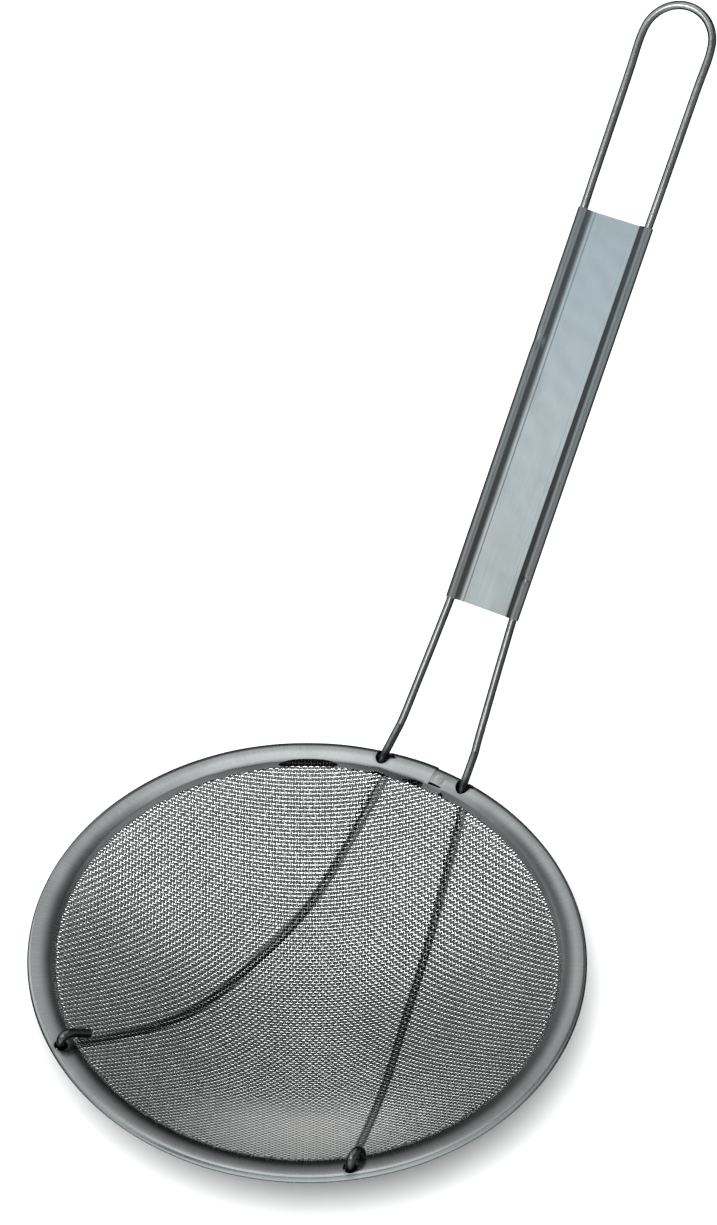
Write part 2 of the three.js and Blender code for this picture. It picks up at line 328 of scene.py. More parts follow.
def hoop_columns():
    """Angles from the handle's plane, close together where the hoop has small details."""
    detailed = 34
    fine = np.arange(-detailed, detailed, 0.14)
    coarse = np.arange(detailed, 2 * pi * HOOP_RADIUS - detailed, 0.75)
    seam = [SEAM_X - 0.04, SEAM_X + 0.04]
    return np.unique(np.concatenate([fine, coarse, seam])) / HOOP_RADIUS


def hoop_grid():
    section = hoop_section()
    outline = strip_outline(section, HOOP_SHEET)
    outward = unit(strip_outline(section, HOOP_SHEET + 0.2) - outline)
    from_axis = outline[:, 0]
    around = hoop_columns()[:, None]
    arc_x = around * HOOP_RADIUS
    on_top = np.zeros(len(outline))
    on_top[:len(section) - SEAT_POINTS - 1] = 1
    # Each sheet lies on the one below at the lap, and runs down again over a couple of centimetres.
    lap = np.where(arc_x < SEAM_X, LAP_RISE * np.exp(-((SEAM_X - arc_x) / LAP_RUN) ** 2), 0)
    radius = from_axis + outward[:, 0] * lap * on_top
    height = outline[:, 1] + outward[:, 1] * lap * on_top
    # The hammered lip isn't quite even.
    circle = HOOP_RADIUS * np.cos(around), HOOP_RADIUS * np.sin(around)
    ripple = 0.05 * sine_noise(*circle, 22)
    wave = 0.16 * sine_noise(*circle, 9)
    lip = np.clip((LIP_RADIUS + LIP_SLOPE_WIDTH - from_axis) / LIP_SLOPE_WIDTH, 0, 1)
    dent = DENT_DEPTH * np.exp(-((arc_x - DENT_X) / DENT_WIDTH) ** 2)
    radius = radius + lip * (wave + dent)
    height = height + lip * (0.6 * wave + dent) + ripple * (1 - lip)
    # A spot weld: a shallow dimple with a raised ring.
    apart = np.hypot(arc_x - WELD_X, from_axis - WELD_FROM_AXIS)
    weld = 0.045 * np.exp(-((apart - WELD_RADIUS) / 0.45) ** 2) - 0.04 * (apart < WELD_RADIUS - 0.5)
    height = height + weld * on_top
    points = np.stack([radius * np.sin(around), radius * np.cos(around), height], -1)
    return points.reshape(-1, 3), grid_faces(len(around), len(outline), closed=True)


def cut_tube(obj, points, radii, sides=24):
    """Takes a tube along a few points, each with its own radius, out of an object."""
    line = np.asarray(points, float)
    cutter = face_object("cutter", *tube(line, radii, *side_vectors(line), sides))
    difference = obj.modifiers.new("cut", "BOOLEAN")
    difference.operation = "DIFFERENCE"
    difference.solver = "EXACT"
    difference.object = cutter
    evaluated = obj.evaluated_get(bpy.context.evaluated_depsgraph_get())
    mesh = bpy.data.meshes.new_from_object(evaluated)
    obj.modifiers.clear()
    obj.data = mesh
    bpy.data.objects.remove(cutter)


def at_rim(arc_length, radius, height):
    angle = arc_length / HOOP_RADIUS
    return np.array([radius * sin(angle), radius * cos(angle), height])


def cut_entry_holes(hoop):
    """Rough holes where the frame wires go through the bead, torn out a little on the +X side."""
    for side in (-1, 1):
        entry = np.array(ENTRY) * [side, 1, 1]
        outer = entry + np.array(ABOVE_ENTRY) * [side, 1, 1]
        inner = entry + np.array(BELOW_ENTRY) * [side, 1, 1]
        hole = [outer + [0, 3, 1.8], outer, entry + [0, 0.3, 0.3], inner, inner * 2 - entry]
        cut_tube(hoop, hole, [2.6, 2.7, 2.75, 2.4, 2.2])
        tear = [entry + [0.5, 1.2, 1.2], entry + [2.9, 1.5, 0.4], entry + [5.4, 1.4, 0.3]]
        cut_tube(hoop, tear, [2.0, 1.1, 0.15], sides=12)


def cut_hook_holes(hoop):
    for side in (-1, 1):
        base = hook_base(side)
        cut_tube(hoop, [[*base, 3.0], [*base, -1.0], [*base, -7.0]], [2.7, 2.4, 2.2])


def cut_lip_slots(hoop):
    """The gaps in the lip at the lap: a long slot behind a tab, and a notch at each end of the tab."""
    slot = [at_rim(a, 92.1, -1.45) for a in np.linspace(3.9, 10.9, 7)]
    cut_tube(hoop, slot, [0.45, 0.62, 0.62, 0.58, 0.52, 0.42, 0.12], sides=10)
    left = [at_rim(a, 90.4, -2.7) for a in (-9.0, -5.0, -1.6, 0.4, 2.4)]
    cut_tube(hoop, left, [0.15, 0.9, 1.5, 1.8, 1.3], sides=12)
    right = [at_rim(a, 90.1, -2.9) for a in (10.2, 11.0, 12.4)]
    cut_tube(hoop, right, [0.5, 1.15, 0.4], sides=12)
    # Farther round, the lip has broken away over a finger's width.
    broken = [at_rim(a, 90.9, -2.6) for a in np.linspace(-61, -33, 8)]
    cut_tube(hoop, broken, [0.1, 1.2, 1.65, 1.8, 1.8, 1.7, 1.3, 0.1], sides=12)


def build_hoop():
    hoop = quad_object("rim", *hoop_grid())
    cut_entry_holes(hoop)
    cut_hook_holes(hoop)
    cut_lip_slots(hoop)
    hoop.data.shade_smooth()
    hoop.data.set_sharp_from_angle(angle=radians(38))
    return hoop


# ------------------------------------ woven cloth


def bowl_table():
    """Radii, heights and slopes of the middle of the inner cloth, from the axis to its edge."""
    centre = BOWL_RADIUS - BOWL_DEPTH
    bottom_angle = radians(BOWL_ANGLE)
    mouth = radians(MOUTH_ANGLE)
    start = np.array([BOWL_RADIUS * sin(bottom_angle), centre - BOWL_RADIUS * cos(bottom_angle)])
    end = np.array([CLOTH_MOUTH_RADIUS, -CLOTH_MOUTH_DEPTH])
    run = end - start
    reach = (run[1] - run[0] * tan(mouth)) / (tan(bottom_angle) - tan(mouth))
    bottom = arc((0, centre), BOWL_RADIUS, -90, -90 + BOWL_ANGLE, 60)
    wall = bent(start, start + [reach, reach * tan(bottom_angle)], end, 40)[1:]
    edge = [(CLOTH_MOUTH_RADIUS + 1.3, -CLOTH_MOUTH_DEPTH), (CLOTH_EDGE_RADIUS - 2.0, -CLOTH_EDGE_DEPTH),
            (CLOTH_EDGE_RADIUS + 1.0, -CLOTH_EDGE_DEPTH)]
    line = np.vstack([bottom, wall, edge])
    radius = np.linspace(0, CLOTH_EDGE_RADIUS + 0.9, 1200)
    height = relaxed(np.interp(radius, line[:, 0], line[:, 1]), 12)
    slope = np.gradient(height, radius)
    slope[0] = 0
    return radius, height, slope


HILL_WAVES = [(random.uniform(0, 2 * pi), 2 * pi / random.uniform(26, 60),
               random.uniform(0, 2 * pi)) for _ in range(12)]


def hills(x, y):
    """The slight unevenness of the pressed bowl, the same for both layers."""
    total = sum(np.sin(w * (x * cos(t) + y * sin(t)) + p) for t, w, p in HILL_WAVES)
    return total / sqrt(len(HILL_WAVES))


def on_bowl(x, y, layer):
    """A layer's middle over a place in plan, the direction into the bowl there, and the slope."""
    table_radius, table_height, table_slope = bowl_table()
    radius = np.hypot(x, y)
    slope = np.interp(radius, table_radius, table_slope)
    flat = np.maximum(radius, 1e-6)
    normal = unit(np.stack([-slope * x / flat, -slope * y / flat, np.ones_like(x)], -1))
    sag = HILL_HEIGHT * hills(x, y) * np.clip((86 - radius) / 20, 0, 1)
    middle = np.stack([x, y, np.interp(radius, table_radius, table_height) + sag], -1)
    apart = np.interp(radius, (87, 91), (CLOTH_LAYER, CLOTH_LAYER_AT_EDGE))
    return middle - normal * (apart * layer)[..., None], normal, slope


def thread_quads(inside):
    """Quads round every thread inside the cloth's edge, and two quads over each of its ends."""
    sides = THREAD_SIDES
    number = np.full(inside.shape, -1)
    number[inside] = np.arange(inside.sum())
    both = inside[:, :-1] & inside[:, 1:]
    first = number[:, :-1][both][:, None] * sides
    second = number[:, 1:][both][:, None] * sides
    k = np.arange(sides)
    k2 = (k + 1) % sides
    quads = np.stack([first + k, first + k2, second + k2, second + k], -1).reshape(-1, 4)
    before = np.pad(inside, ((0, 0), (1, 0)))[:, :-1]
    after = np.pad(inside, ((0, 0), (0, 1)))[:, 1:]
    starts = number[inside & ~before][:, None] * sides
    ends = number[inside & ~after][:, None] * sides
    caps = [starts + [3, 2, 1, 0], starts + [5, 4, 3, 0], ends + [0, 1, 2, 3], ends + [0, 3, 4, 5]]
    return np.vstack([quads, *caps])


def woven_threads(weave, layer, across_threads, shift, per_pitch):
    """One direction of a layer's threads: points, quads, and how deep each point lies under the others."""
    pitch = weave["pitch"]
    reach = int(CLOTH_EDGE_RADIUS / pitch) + 1
    thread = np.arange(-reach, reach + 1)
    sample = np.arange(-reach * per_pitch, reach * per_pitch + 1)
    thread, sample = np.meshgrid(thread, sample, indexing="ij")
    along = sample * (pitch / per_pitch)
    # Each thread strays a little from its place, as in real cloth.
    stray = random.normal(0, THREAD_STRAY, thread.shape[0])[:, None]
    beside = thread * pitch + stray + THREAD_WANDER * sine_noise(along, thread * pitch, 40)
    # The weave lies square to the viewer, not to the handle.
    heading = radians(VIEW_TURN + (90 if across_threads else 0))
    u = np.array([cos(heading), sin(heading)])
    x = along * u[0] - beside * u[1] + shift[0]
    y = along * u[1] + beside * u[0] + shift[1]
    middle, normal, slope = on_bowl(x, y, layer)
    # Threads that run across go over where those that run along go under.
    phase = pi * (along / pitch + thread)
    sign = -1 if across_threads else 1
    lift = weave["lift"] * np.cos(phase) * sign
    middle += normal * lift[..., None]
    radius = np.hypot(x, y)
    climb = slope * (x * u[0] + y * u[1]) / np.maximum(radius, 1e-6)
    forward = unit(np.stack([np.full_like(x, u[0]), np.full_like(x, u[1]), climb], -1))
    bend = -weave["lift"] * pi / pitch * np.sin(phase) * sign
    forward = unit(forward + normal * bend[..., None])
    lateral = unit(np.cross(normal, forward))
    over = np.cross(forward, lateral)
    angle = np.linspace(0, 2 * pi, THREAD_SIDES, endpoint=False) + pi / THREAD_SIDES
    ring = np.cos(angle)[:, None] * lateral[..., None, :] + np.sin(angle)[:, None] * over[..., None, :]
    points = middle[..., None, :] + ring * weave["wire"] / 2
    inside = radius < CLOTH_EDGE_RADIUS
    depth = np.repeat((0.5 - lift / weave["lift"] / 2)[inside], THREAD_SIDES)
    return points[inside].reshape(-1, 3), thread_quads(inside), depth


def build_cloth(name, weave, layer, shift, per_pitch):
    weft, warp = [woven_threads(weave, layer, across, shift, per_pitch) for across in (False, True)]
    points = np.vstack([weft[0], warp[0]])
    quads = np.vstack([weft[1], warp[1] + len(weft[0])])
    cloth = quad_object(name, points, quads)
    cloth.data.polygons.foreach_set("material_index", np.repeat([0, 1], [len(weft[1]), len(warp[1])]))
    depth = cloth.data.attributes.new("depth", "FLOAT", "POINT")
    depth.data.foreach_set("value", np.concatenate([weft[2], warp[2]]))
    return cloth


def build_fold_shade():
    """A thin near-black ring at the cloth's edge inside the fold: a sheet of painted shade for the dark
    there.
    """
    table_radius, table_height, _ = bowl_table()
    radius = np.linspace(CLOTH_MOUTH_RADIUS + 1.1, CLOTH_EDGE_RADIUS - 0.6, 12)
    middle = np.interp(radius, table_radius, table_height) - CLOTH_LAYER_AT_EDGE / 2
    section = strip_outline(np.stack([radius, middle], -1), FOLD_SHADE_THICKNESS)
    angle = np.linspace(0, 2 * pi, 361)[:-1, None]
    height = np.broadcast_to(section[:, 1], (len(angle), len(section)))
    points = np.stack([section[:, 0] * np.sin(angle), section[:, 0] * np.cos(angle), height], -1)
    quads = grid_faces(len(angle), len(section), closed=True)
    return quad_object("cloth_edge_shade", points.reshape(-1, 3), quads)


# ------------------------------------ frame wires and loop


def on_handle(along, x, height=0.0):
    """A point on the handle: along it from the kink, from its middle plane, and over the wires' plane."""
    tilt = radians(HANDLE_ANGLE)
    return np.array([
        x,
        KINK[1] + along * cos(tilt) - height * sin(tilt),
        KINK[2] + along * sin(tilt) + height * cos(tilt),
    ])


def hook_base(side):
    return np.array([HOOK_HALF * side, -sqrt(HOOK_RADIUS ** 2 - HOOK_HALF ** 2)])


def path_x(y):
    base = hook_base(1)
    t = (ENTRY[1] - y) / (ENTRY[1] - base[1])
    return ENTRY[0] + (base[0] - ENTRY[0]) * t - PATH_BOW * 4 * t * (1 - t)


def under_bowl(y):
    """A frame wire's centre where it lies against the bowl."""
    x = path_x(y)
    radius, height, slope = bowl_table()
    r = hypot(x, y)
    clear = CLOTH_LAYER + COARSE["lift"] + COARSE["wire"] / 2 + 0.12 + WIRE_RADIUS
    return [x, y, np.interp(r, radius, height) - clear * hypot(1, np.interp(r, radius, slope))]


def frame_wire_points(hook):
    spread = ((FRAME_WIRE_END, GRIP_HALF), (100, GRIP_HALF), (GRIP_START + 8, GRIP_HALF),
              (GRIP_START - 1, GRIP_HALF), (43, GRIP_HALF + 0.35), (31, GRIP_HALF + 0.95),
              (15, GRIP_HALF + 1.85), (3, KINK[0] - 0.3))
    handle = [on_handle(a, x) for a, x in spread]
    kink = [[KINK[0], KINK[1], KINK[2]], [KINK[0] + 0.25, KINK[1] - 3, KINK[2] - 1.65]]
    entry = np.array(ENTRY)
    through = [entry + ABOVE_ENTRY, entry, entry + BELOW_ENTRY]
    heights = ((88, -11.7), (75, -25.2), (60, -38.2), (45, -45.7), (28, -48.4))
    span = [[path_x(y), y, z] for y, z in heights]
    resting = [under_bowl(y) for y in (10, 0, -10, -20, -30, -40, -50, -60)]
    return handle + kink + through + span + resting + hook


def hook_points(turned, rise, bend, sweep, tail):
    """Under the hoop, up through its hole, over in an arch and down again. Angles are in degrees."""
    base = hook_base(1)
    t = radians(turned)
    inward = np.array([-sin(t), cos(t)])
    low = -SEAT_DEPTH - WIRE_RADIUS - 0.25

    def place(back, z):
        return [*(base + inward * back), z]

    nearing = [[path_x(-70), -70, low - 3.1], [path_x(-75.6), -75.6, low - 0.4], place(0, -2.6)]
    angles = np.radians(np.linspace(0, sweep, 7))
    arch = [place(bend * (1 - cos(a)), rise + bend * sin(a)) for a in angles]
    back = bend * (1 - cos(angles[-1]))
    height = rise + bend * sin(angles[-1])
    steps = (tail / 2, tail)
    run = [place(back + d * sin(angles[-1]), height + d * cos(angles[-1])) for d in steps]
    return nearing + arch + run


def build_frame_wire(name, side, hook):
    line = curve_through(frame_wire_points(hook))
    if side < 0:
        line = line * [-1, 1, 1]
    return wire_object(name, line, SWELL)


def build_loop():
    top = LOOP_BEND_RADIUS
    bend_start = LOOP_TOP - top
    grip_end = GRIP_START + GRIP_LENGTH
    leg = [(LOOP_LEG_START, GRIP_HALF), (grip_end - 8, GRIP_HALF), (grip_end + 1, GRIP_HALF),
           (grip_end + 8, GRIP_HALF + 0.1), (bend_start - 14, GRIP_HALF + 0.3)]
    bend = [(bend_start + top * sin(radians(a)), top * cos(radians(a)))
            for a in (0, 22.5, 45, 67.5)]
    half = leg + bend
    points = [on_handle(a, x) for a, x in half] + [on_handle(LOOP_TOP, 0)]
    points += [on_handle(a, -x) for a, x in half[::-1]]
    return wire_object("loop", curve_through(points))


# ------------------------------------ grip


def grip_half(leave, landing, edge):
    """Half of the grip's section, from the middle of the panel, round a wire and back to a flat flange."""
    panel = -(WIRE_RADIUS + GRIP_FIT + GRIP_SHEET / 2)
    flange = panel + GRIP_SHEET + 0.04
    curl = -panel
    start = radians(leave)
    drop = curl * sin(start) - flange
    foot = GRIP_HALF + curl * cos(start) + drop * tan(start)
    rise = (GRIP_HALF + curl * cos(start), curl * sin(start))
    middle = np.linspace((0, panel), (GRIP_HALF, panel), 14)[:-1]
    round_wire = arc((GRIP_HALF, 0), curl, -90, leave, 40)
    back = bent(rise, (foot, flange), (landing, flange), 14)[1:]
    flat = np.linspace((landing, flange), (edge, flange), 5)[1:]
    return np.vstack([middle, round_wire, back, flat])


def grip_outline():
    right = grip_half(142, 9.2, 7.8)
    left = grip_half(150, 9.6, 8.3) * [-1, 1]
    return strip_outline(np.vstack([left[::-1][:-1], right]), GRIP_SHEET)


def hump(s, middle, width):
    return np.exp(-((s - middle) / width) ** 2)


def worn_grip(s, x, height):
    """The grip's section points at each place along it, eased, uneven, crimped and with a lifted flange."""
    side = np.sign(x)
    # The sheet's edges are eased at both ends.
    ease = 0.05 * np.clip(1 - np.minimum(s, GRIP_LENGTH - s) / GRIP_EASE, 0, 1) ** 2
    centre = np.stack([side * GRIP_HALF, np.zeros_like(x)], -1)
    away = unit(np.stack([x, height], -1) - centre)
    x = x - away[..., 0] * ease
    height = height - away[..., 1] * ease
    # The flat panel is a little uneven, and the curls bear the marks of the crimping tool.
    height += 0.035 * sine_noise(x, s, 34) + 0.012 * sine_noise(x, s, 9)
    on_curl = np.clip((height + 0.4) / 1.4, 0, 1)
    notch = on_curl * hump(s, 15.2, 0.8) * (side > 0)
    dent = on_curl * hump(s, 99, 2.4) * (side < 0)
    press = 0.5 * notch + 0.3 * dent
    x = x - away[..., 0] * press
    height = height - away[..., 1] * press
    # Near its lower end the right flange stands a little off the panel.
    flange = (side > 0) * np.clip((11.2 - np.abs(x)) / 2.5, 0, 1) * (height > -1.62)
    lift = flange * np.clip(1 - s / 15, 0, 1)
    return x + 0.7 * lift, height + 0.35 * lift


def build_grip():
    outline = grip_outline()
    ends = np.array([0, 0.1, GRIP_EASE])
    along = np.concatenate([ends, np.arange(0.5, GRIP_LENGTH - 0.4, 0.5), GRIP_LENGTH - ends[::-1]])
    s, x = np.meshgrid(along, outline[:, 0], indexing="ij")
    x, height = worn_grip(s, x, np.broadcast_to(outline[:, 1], s.shape).copy())
    tilt = radians(HANDLE_ANGLE)
    base = on_handle(GRIP_START, 0)
    points = np.stack([
        base[0] + x,
        base[1] + s * cos(tilt) - height * sin(tilt),
        base[2] + s * sin(tilt) + height * cos(tilt),
    ], -1).reshape(-1, 3)
    return face_object("grip", points, capped_faces(len(along), len(outline)), sharp=50)


# ------------------------------------ materials

# A near-black for heat marks and for painted shade.
BLACK_STAIN_AND_SHADE = (0.012, 0.013, 0.012, 1)
CURL_SHADE = (0.06, 0.06, 0.06, 1)
GRAIN_DEPTH = 0.0004
MOTTLE = 700.0
FINE_MOTTLE = 260.0
# Grain along each axis, in 1/m.
BRUSHED = (1600, 120, 120)
DRAWN = (900, 900, 900)
WOVEN = (600, 600, 600)
FOLD_SHADE_GRAIN = (400, 400, 400)
ROLLED = (1500, 30, 1500)
HOOP_TOP = ORIGIN[2] / 1000
AXIS_Y = ORIGIN[1] / 1000


class Graph:
    """Short ways to add shader nodes and join them."""

    def __init__(self, tree):
        self.tree = tree
        tree.nodes.clear()

    def add(self, kind, settings=None, **inputs):
        node = self.tree.nodes.new("ShaderNode" + kind)
        for key, value in (settings or {}).items():
            setattr(node, key, value)
        for key, value in inputs.items():
            self.set(node.inputs[key.replace("_", " ")], value)
        return node

    def set(self, socket, value):
        if isinstance(value, bpy.types.NodeSocket):
            self.tree.links.new(value, socket)
        else:
            socket.default_value = value

    def output(self, kind, result):
        self.tree.links.new(result, self.add(kind).inputs[0])

    def math(self, operation, *values):
        node = self.add("Math", {"operation": operation})
        for socket, value in zip(node.inputs, values):
            self.set(socket, value)
        return node.outputs[0]

    def chain(self, operation, total, *values):
        for value in values:
            total = self.math(operation, total, value)
        return total

    def plus(self, *values):
        return self.chain("ADD", *values)

    def times(self, *values):
        return self.chain("MULTIPLY", *values)

    def most(self, *values):
        return self.chain("MAXIMUM", *values)

    def rest(self, value):
        """What is missing from 1."""
        return self.math("SUBTRACT", 1.0, value)

    def vector_math(self, operation, first, second):
        node = self.add("VectorMath", {"operation": operation})
        self.set(node.inputs[0], first)
        self.set(node.inputs[1], second)
        return node.outputs

    def distance(self, place, point):
        return self.vector_math("DISTANCE", place, Vector(point))["Value"]

    def dot(self, direction, axis):
        return self.vector_math("DOT_PRODUCT", direction, Vector(axis))["Value"]

    def ramp(self, value, low, high, to_low=0.0, to_high=1.0, smooth=True):
        kind = {"interpolation_type": "SMOOTHSTEP" if smooth else "LINEAR"}
        node = self.add("MapRange", kind, Value=value, From_Min=low, From_Max=high,
                        To_Min=to_low, To_Max=to_high)
        return node.outputs[0]

    def mix(self, factor, first, second):
        node = self.add("Mix", {"data_type": "RGBA"})
        self.set(node.inputs[0], factor)
        self.set(node.inputs[6], first)
        self.set(node.inputs[7], second)
        return node.outputs[2]

    def noise(self, vector, scale, detail=3.0, roughness=0.55):
        node = self.add("TexNoise", None, Vector=vector, Scale=scale, Detail=detail, Roughness=roughness)
        return node.outputs["Fac"]

    def stretched(self, vector, scale):
        return self.add("Mapping", None, Vector=vector, Scale=scale).outputs[0]

    def place(self):
        return self.add("TexCoord").outputs["Object"]

    def parts(self, vector):
        return self.add("SeparateXYZ", None, Vector=vector).outputs

    def facing_away(self):
        """0 where the surface faces the eye, 1 at its outline."""
        return self.add("LayerWeight", None, Blend=0.5).outputs["Facing"]

    def bare_metal(self, colour, rough, grain, grain_bump):
        bump = self.add("Bump", None, Strength=grain_bump, Distance=GRAIN_DEPTH, Height=grain)
        shader = self.add("BsdfPrincipled", None, Base_Color=colour, Metallic=1.0, Roughness=rough,
                          Normal=bump.outputs[0])
        self.output("OutputMaterial", shader.outputs[0])


def new_material(name):
    material = bpy.data.materials.new(name)
    material.use_nodes = True
    return material, Graph(material.node_tree)


def polar(g):
    """Position as (way round the hoop, distance from its axis, height), so that grain follows the hoop."""
    x, y, z = g.parts(g.place())
    y = g.plus(y, -AXIS_Y)
    length = g.times(g.math("ARCTAN2", x, y), HOOP_RADIUS / 1000)
    radius = g.math("SQRT", g.plus(g.times(x, x), g.times(y, y)))
    return g.add("CombineXYZ", None, X=length, Y=radius, Z=z).outputs[0]


def along_handle(g):
    """Position as (across, along the handle, out from it), so that grain follows the handle."""
    turned = g.add("VectorRotate", {"rotation_type": "X_AXIS"}, Vector=g.place())
    turned.inputs["Angle"].default_value = -radians(HANDLE_ANGLE)
    return turned.outputs[0]


def near_any(g, points, least, most):
    """1 within a distance (mm) of any of the points, falling to 0 at a larger one."""
    place = g.place()
    apart = g.chain("MINIMUM", *[g.distance(place, to_frame(point)) for point in points])
    return g.ramp(apart, least / 1000, most / 1000, 1.0, 0.0)


def beyond(g, least, most):
    """0 nearer to the bowl's axis than a distance (mm), 1 beyond a larger one."""
    return g.ramp(g.parts(polar(g))[1], least / 1000, most / 1000)


def between_arcs(g, start, end, fade):
    """1 between two places on the hoop, by way round it from the handle's plane (mm)."""
    length = g.parts(polar(g))[0]
    after = g.ramp(length, start / 1000, (start + fade[0]) / 1000)
    before = g.ramp(length, (end - fade[1]) / 1000, end / 1000, 1.0, 0.0)
    return g.times(after, before)


def facing(g, bearing, least, most):
    """Rises from 0 to 1 round the hoop towards a bearing, in degrees from the viewer's line of sight."""
    angle = g.math("DIVIDE", g.parts(polar(g))[0], HOOP_RADIUS / 1000)
    apart = g.plus(angle, -radians(bearing - VIEW_TURN))
    return g.ramp(g.math("COSINE", apart), least, most)


def height_between(g, low, high, to_low, to_high):
    """A ramp by height over the hoop's top (mm)."""
    return g.ramp(g.parts(g.place())[2], HOOP_TOP + low / 1000, HOOP_TOP + high / 1000, to_low, to_high)


def outline_shade(g, edge):
    """Round wires are darker at their outline, and on the side away from the window."""
    turned = g.ramp(g.facing_away(), 0.10, 0.42, 0.0, edge)
    from_window = g.dot(g.add("NewGeometry").outputs["Normal"], VIEW_RIGHT)
    return g.most(turned, g.ramp(from_window, -0.55, 0.35, 0.0, edge * 0.85))


def metal(name, light, dark, roughness, grain, grain_bump, mottle=MOTTLE, vector=Graph.place, darkening=None,
          edge=0.0):
    """Worn bare steel: cloudy colour, uneven roughness and a fine drawn or brushed grain.

    light and dark are the two colours; roughness is a (least, most) pair; grain scales the noise that
    makes the grain along each axis of the vector; darkening(g) gives how much of the light is lost at each
    place to stains, heat marks and painted shade, and edge how much painted shade is added where the
    surface turns away from the eye.
    """
    material, g = new_material(name)
    place = vector(g)
    clouds = g.noise(place, mottle / 14, 4.0)
    specks = g.noise(place, mottle, 2.0)
    lines = g.noise(g.stretched(place, grain), 1.0, 2.0, 0.6)
    blend = g.plus(g.times(clouds, 0.6), g.times(lines, 0.4))
    colour = g.mix(g.ramp(blend, 0.35, 0.65), (*dark, 1), (*light, 1))
    if darkening:
        colour = g.mix(darkening(g), colour, BLACK_STAIN_AND_SHADE)
    if edge:
        colour = g.mix(outline_shade(g, edge), colour, BLACK_STAIN_AND_SHADE)
    wear = g.plus(g.times(specks, 0.5), g.times(lines, 0.5))
    rough = g.ramp(wear, 0.3, 0.7, *roughness, smooth=False)
    g.bare_metal(colour, rough, lines, grain_bump)
    return material


def hole_places():
    entries = [(ENTRY[0] * side, ENTRY[1], ENTRY[2] - 1) for side in (-1, 1)]
    return entries, [(*hook_base(side), -1.2) for side in (-1, 1)]


# Sides of the hoop's slope that get painted shade: bearing from the line of sight, cosines of the
# angle from it where the shade starts and is full, loss of light all over, and more at the slope's foot.
SHADED_SIDES = [
    (180, 0.2, 0.95, 0.55, 0.25),
    (-90, 0.1, 1.0, 0.15, 0.40),
    (90, 0.1, 1.0, 0.05, 0.65),
]


def hoop_painted_shade(g):
    """Painted shade on the hoop: its slope darker at the near side and the sides, its bead at the sides and
    the far side, and its lip but for the tab.
    """
    right = facing(g, 90, 0.1, 1.0)
    left = facing(g, -90, 0.1, 1.0)
    far = facing(g, 0, 0.2, 0.9)
    foot = g.rest(beyond(g, 92.5, 96.5))
    kept = 1.0
    for bearing, start, full, everywhere, more in SHADED_SIDES:
        lost = g.times(facing(g, bearing, start, full), g.plus(everywhere, g.times(foot, more)))
        kept = g.times(kept, g.rest(lost))
    bead = beyond(g, 95.8, 99.6)
    on_bead = g.plus(g.times(right, 0.34), g.times(left, 0.12))
    slope_and_bead_shade = g.plus(g.times(g.rest(bead), g.rest(kept)), g.times(bead, on_bead))
    on_far_bead = g.times(beyond(g, 97.3, 98.1), far, 0.80)
    off_tab = g.rest(between_arcs(g, 2.4, 11.2, (0.3, 0.8)))
    lip = g.times(g.rest(beyond(g, 91.0, 93.0)), off_tab)
    on_lip = g.times(lip, g.plus(0.66, g.times(right, 0.12), g.times(far, -0.14)))
    return g.most(slope_and_bead_shade, on_far_bead, on_lip)


def inside_fold(g):
    """1 on the hidden faces between the hoop's top and its underside."""
    across = g.times(beyond(g, 91.9, 92.5), g.rest(beyond(g, 97.4, 98.0)))
    under_crown = height_between(g, -1.4, -1.1, 1.0, 0.0)
    over_seat = height_between(g, -3.40, -3.25, 0.0, 1.0)
    return g.times(across, under_crown, over_seat)


def rim_heat_and_painted_shade(g):
    """Painted shade round the holes, inside the fold and over the hoop's slope, bead and lip, and darker
    where the weld's heat has marked the lap.
    """
    entries, hooks = hole_places()
    holes = g.times(near_any(g, entries + hooks, 1.5, 4.6), 0.8)
    cloud = g.ramp(g.noise(g.place(), 300.0, 4.0), 0.3, 0.7, 0.6, 1.0)
    heat = g.times(between_arcs(g, SEAM_X, 19, (0.1, 9)), 0.38, cloud)
    # Painted shade round the holes and inside the fold, beside the heat marks.
    return g.most(holes, heat, g.times(inside_fold(g), 0.96), hoop_painted_shade(g))


def wire_painted_shade(g):
    """Painted shade at the holes and, nearly black, under the bowl, where the wires lie in its shade; the
    hooks are somewhat darker as well.
    """
    entries, hooks = hole_places()
    holes = g.times(g.most(near_any(g, entries, 2.2, 6.0), near_any(g, hooks, 1.8, 3.6)), 0.9)
    on_hooks = g.times(near_any(g, hooks, 9.0, 15.0), 0.30)
    return g.most(holes, on_hooks, height_between(g, -12, -4, 0.96, 0.0))


def over_wires(g):
    """1 on the cloth in front of the frame wires, for the viewer: there it mirrors them, not the floor."""
    x, y, _ = g.parts(g.place())
    y = g.plus(y, -AXIS_Y)
    # The wires leave the bowl and hang lower towards the handle, so they are seen farther away.
    gap = g.ramp(y, 0.012, 0.056, 0.0030, 0.0105)
    shift = g.times(gap, 1 / tan(view_rise))
    x = g.plus(x, g.times(shift, VIEW_AWAY[0]))
    y = g.plus(y, g.times(shift, VIEW_AWAY[1]))
    base = hook_base(1)
    t = g.math("DIVIDE", g.math("SUBTRACT", ENTRY[1] / 1000, y), (ENTRY[1] - base[1]) / 1000)
    straight = g.plus(g.times(t, (base[0] - ENTRY[0]) / 1000), ENTRY[0] / 1000)
    bow = g.times(t, g.rest(t), -PATH_BOW * 4 / 1000)
    apart = g.math("SUBTRACT", g.math("ABSOLUTE", x), g.plus(straight, bow))
    apart = g.math("ABSOLUTE", apart)
    # A streak of light lies along the middle of each wire.
    streak = g.ramp(apart, 0.0002, 0.0009, 0.72, 1.0)
    return g.times(g.ramp(apart, 0.0013, 0.0021, 1.0, 0.0), streak)


